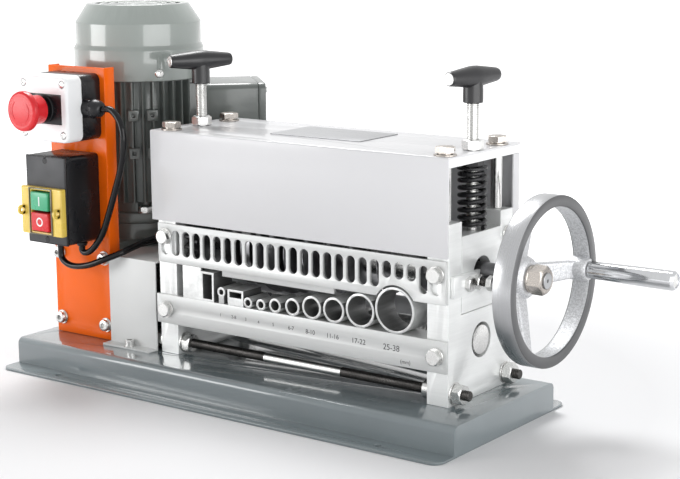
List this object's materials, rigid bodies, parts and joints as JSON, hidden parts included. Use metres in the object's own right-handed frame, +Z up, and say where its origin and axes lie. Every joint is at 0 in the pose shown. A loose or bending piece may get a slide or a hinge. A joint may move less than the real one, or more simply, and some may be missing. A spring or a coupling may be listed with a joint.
{
  "type": "cable stripping machine",
  "caption": "Bench cable stripping machine with a geared motor, blade shaft, guide tubes, press screws, hand wheel, switch and emergency stop on a sheet base.",
  "frame": {"origin": "on the floor under the middle of the base tray, halfway along it", "axes": "+X along the blade shaft towards the hand wheel, -Y towards the operator, +Z up"},
  "size_m": [0.727, 0.3148, 0.395],
  "materials": {
    "grey_enamel": "gloss",
    "milled_plate": "satin",
    "hood_paint": "satin",
    "cover_paint": "satin",
    "orange_paint": "gloss",
    "motor_paint": "satin",
    "zinc_steel": "satin",
    "dark_steel": "satin",
    "blade_steel": "polished",
    "wheel_iron": "cast with a turned rim",
    "chrome": "polished",
    "guide_metal": "mill finish",
    "bronze": "machined",
    "black_plastic": "satin",
    "grey_plastic": "satin",
    "white_plastic": "satin",
    "yellow_plastic": "satin",
    "red_plastic": "gloss",
    "green_plastic": "gloss",
    "rubber": "matte",
    "label": "blank"
  },
  "bodies": {
    "machine": {"base_tray": "grey_enamel", "left_end_plate": "milled_plate", "right_end_plate": "milled_plate", "top_plate": "milled_plate", "hood": "hood_paint", "back_cover": "hood_paint", "pillars": "zinc_steel", "hex_bolts": "zinc_steel", "nameplate_blank": "label", "tie_rods": "dark_steel", "hex_nuts": "zinc_steel", "guard_plate": "milled_plate", "guide_bar": "milled_plate", "guide_tubes": "guide_metal", "lower_bearings": "dark_steel", "coupling_guard": "cover_paint", "gearbox_housing": "motor_paint", "gearbox_cover": "motor_paint", "motor_frame": "motor_paint", "motor_flange": "motor_paint", "fan_cowl": "grey_enamel", "terminal_box": "motor_paint", "terminal_lid": "motor_paint", "cable_glands": "black_plastic", "control_column": "orange_paint", "screws": "zinc_steel", "estop_housing": "black_plastic", "estop_cover": "white_plastic", "switch_body": "black_plastic", "switch_plate": "grey_plastic", "switch_bezel": "yellow_plastic", "estop_lead": "rubber", "motor_lead": "rubber", "left_spring": "dark_steel", "right_spring": "dark_steel"},
    "carriage": {"bearing_blocks": "milled_plate", "block_bearings": "dark_steel", "retaining_plates": "zinc_steel"},
    "blade_rotor": {"blade_shaft": "dark_steel", "cutter_discs": "blade_steel", "disc_spacers": "zinc_steel", "upper_gear": "zinc_steel", "handwheel": "wheel_iron", "wheel_nut": "zinc_steel", "crank_pin": "zinc_steel"},
    "crank_grip_body": {"crank_grip": "chrome"},
    "roller_rotor": {"feed_roller": "dark_steel", "lower_gear": "zinc_steel", "drive_coupling": "dark_steel", "worm_wheel": "bronze"},
    "motor_rotor_body": {"motor_rotor": "zinc_steel", "cooling_fan": "black_plastic"},
    "left_press": {"left_press_screw": "zinc_steel", "left_grip": "black_plastic"},
    "right_press": {"right_press_screw": "zinc_steel", "right_grip": "black_plastic"},
    "estop_mushroom": {"estop_stem": "black_plastic", "estop_button": "red_plastic"},
    "start_key": {"start_button": "green_plastic"},
    "stop_key": {"stop_button": "red_plastic"}
  },
  "joints": [
    {"name": "blade_lift", "type": "slide", "parent": "machine", "child": "carriage", "axis": [0, 0, 1], "range_m": [0, 0.004], "deforming": ["left_spring", "right_spring"]},
    {"name": "blade_shaft_turn", "type": "hinge", "parent": "carriage", "child": "blade_rotor", "pos_m": [0.0675, 0.0145, 0.152], "axis": [1, 0, 0], "continuous": true},
    {"name": "crank_grip_turn", "type": "hinge", "parent": "blade_rotor", "child": "crank_grip_body", "pos_m": [0.377, 0.0825, 0.152], "axis": [1, 0, 0], "continuous": true},
    {"name": "feed_roller_turn", "type": "hinge", "parent": "machine", "child": "roller_rotor", "pos_m": [0.0675, 0.0145, 0.085], "axis": [1, 0, 0], "continuous": true},
    {"name": "motor_turn", "type": "hinge", "parent": "machine", "child": "motor_rotor_body", "pos_m": [-0.233, 0.0585, 0.2], "axis": [0, 0, 1], "continuous": true},
    {"name": "left_press_turn", "type": "hinge", "parent": "carriage", "child": "left_press", "pos_m": [-0.103, 0.0145, 0.26], "axis": [0, 0, 1], "range_deg": [0, 823.9]},
    {"name": "right_press_turn", "type": "hinge", "parent": "carriage", "child": "right_press", "pos_m": [0.238, 0.0145, 0.26], "axis": [0, 0, 1], "range_deg": [0, 823.9]},
    {"name": "estop_press", "type": "slide", "parent": "machine", "child": "estop_mushroom", "axis": [0, 1, 0], "range_m": [0, 0.005], "stiffness_N_per_m": 1200, "springref_m": -0.002},
    {"name": "start_press", "type": "slide", "parent": "machine", "child": "start_key", "axis": [0, 1, 0], "range_m": [0, 0.0025], "stiffness_N_per_m": 1000, "springref_m": -0.001},
    {"name": "stop_press", "type": "slide", "parent": "machine", "child": "stop_key", "axis": [0, 1, 0], "range_m": [0, 0.0025], "stiffness_N_per_m": 1000, "springref_m": -0.001}
  ],
  "couplings": [
    {"joint": "feed_roller_turn", "follows": "blade_shaft_turn", "ratio": -2.3333},
    {"joint": "motor_turn", "follows": "blade_shaft_turn", "ratio": 23.333},
    {"joint": "left_press_turn", "follows": "blade_lift", "rad_per_m": 3590.4},
    {"joint": "right_press_turn", "follows": "blade_lift", "rad_per_m": 3590.4}
  ]
}
